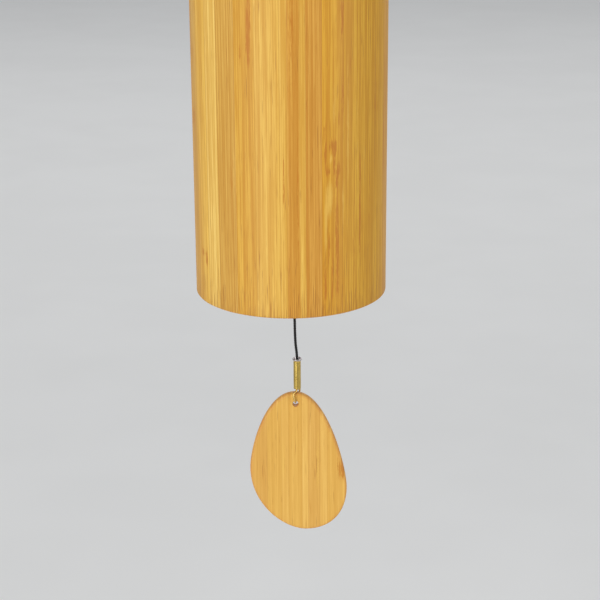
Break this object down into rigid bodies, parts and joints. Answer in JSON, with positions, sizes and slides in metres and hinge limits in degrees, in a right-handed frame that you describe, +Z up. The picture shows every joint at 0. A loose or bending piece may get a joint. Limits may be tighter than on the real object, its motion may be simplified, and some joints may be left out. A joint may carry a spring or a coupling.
{
  "type": "wind chime",
  "caption": "Bamboo tube wind chime: steel rods tuned to a chord hang inside a rolled veneer tube, with a clear clapper on a cord and a flat bamboo sail below.",
  "frame": {"origin": "hang point: the inside of the hanging loop's top bend, on the tube's axis", "axes": "+Z up along the tube's axis, -Y out of the sail's front face, +X to the right of someone who faces the sail"},
  "size_m": [0.062, 0.062, 0.306],
  "materials": {
    "cord": "matt, tightly braided black cord",
    "bamboo_veneer": "rolled bamboo veneer in upright strips, satin lacquer",
    "bamboo_disc": "bamboo board, turned, satin oil",
    "bamboo_plate": "bamboo strip plate with eased edges, satin lacquer",
    "plate_brass": "turned brass",
    "rod_steel": "drawn steel, bright",
    "silver_solder": "silver solder, as it flowed",
    "screw_steel": "plain steel",
    "clear_acrylic": "clear acrylic, polished faces",
    "sleeve_brass": "bright brass tube, paler at its flared lip",
    "hook_brass": "brass wire"
  },
  "bodies": {
    "loop": {"hanging_loop": "cord"},
    "top_knot": {"top_knot": "cord"},
    "resonator": {"resonator_tube": "bamboo_veneer", "top_cap": "bamboo_disc", "tone_plate": "plate_brass", "rod_1": "rod_steel", "rod_2": "rod_steel", "rod_3": "rod_steel", "rod_4": "rod_steel", "rod_5": "rod_steel", "rod_6": "rod_steel", "rod_7": "rod_steel", "rod_8": "rod_steel", "solder_1": "silver_solder", "solder_2": "silver_solder", "solder_3": "silver_solder", "solder_4": "silver_solder", "solder_5": "silver_solder", "solder_6": "silver_solder", "solder_7": "silver_solder", "solder_8": "silver_solder", "plate_screw_1": "screw_steel", "plate_screw_2": "screw_steel", "plate_screw_3": "screw_steel", "plate_spacer_1": "screw_steel", "plate_spacer_2": "screw_steel", "plate_spacer_3": "screw_steel"},
    "stopper_knot": {"stopper_knot": "cord"},
    "clapper": {"clapper_line": "cord", "clapper_knot_upper": "cord", "clapper": "clear_acrylic"},
    "lower_knot": {"clapper_knot_lower": "cord"},
    "sail_line": {"sail_line": "cord", "hook": "hook_brass"},
    "sleeve": {"sleeve": "sleeve_brass"},
    "sail": {"sail": "bamboo_plate"}
  },
  "joints": [
    {"name": "chime_heading", "type": "hinge", "parent": "loop", "child": "top_knot", "pos_m": [0, 0, -0.05055], "axis": [0, 0, 1], "continuous": true},
    {"name": "chime_swing", "type": "hinge", "parent": "top_knot", "child": "resonator", "pos_m": [0, 0, -0.05055], "axis": [0, 1, 0], "range_deg": [-45, 45]},
    {"name": "clapper_heading", "type": "hinge", "parent": "resonator", "child": "stopper_knot", "pos_m": [0, 0, -0.06975], "axis": [0, 0, 1], "continuous": true},
    {"name": "clapper_swing", "type": "hinge", "parent": "stopper_knot", "child": "clapper", "pos_m": [0, 0, -0.06975], "axis": [1, 0, 0], "range_deg": [-3.8, 3.8]},
    {"name": "line_heading", "type": "hinge", "parent": "clapper", "child": "lower_knot", "pos_m": [0, 0, -0.12021], "axis": [0, 0, 1], "continuous": true},
    {"name": "line_swing", "type": "hinge", "parent": "lower_knot", "child": "sail_line", "pos_m": [0, 0, -0.12021], "axis": [1, 0, 0], "range_deg": [-9.5, 9.5]},
    {"name": "sleeve_slide", "type": "slide", "parent": "sail_line", "child": "sleeve", "axis": [0, 0, 1], "range_m": [0, 0.005]},
    {"name": "sail_swing", "type": "hinge", "parent": "sail_line", "child": "sail", "pos_m": [0.00115, 0, -0.258], "axis": [0, 1, 0], "range_deg": [-35, 35]}
  ]
}
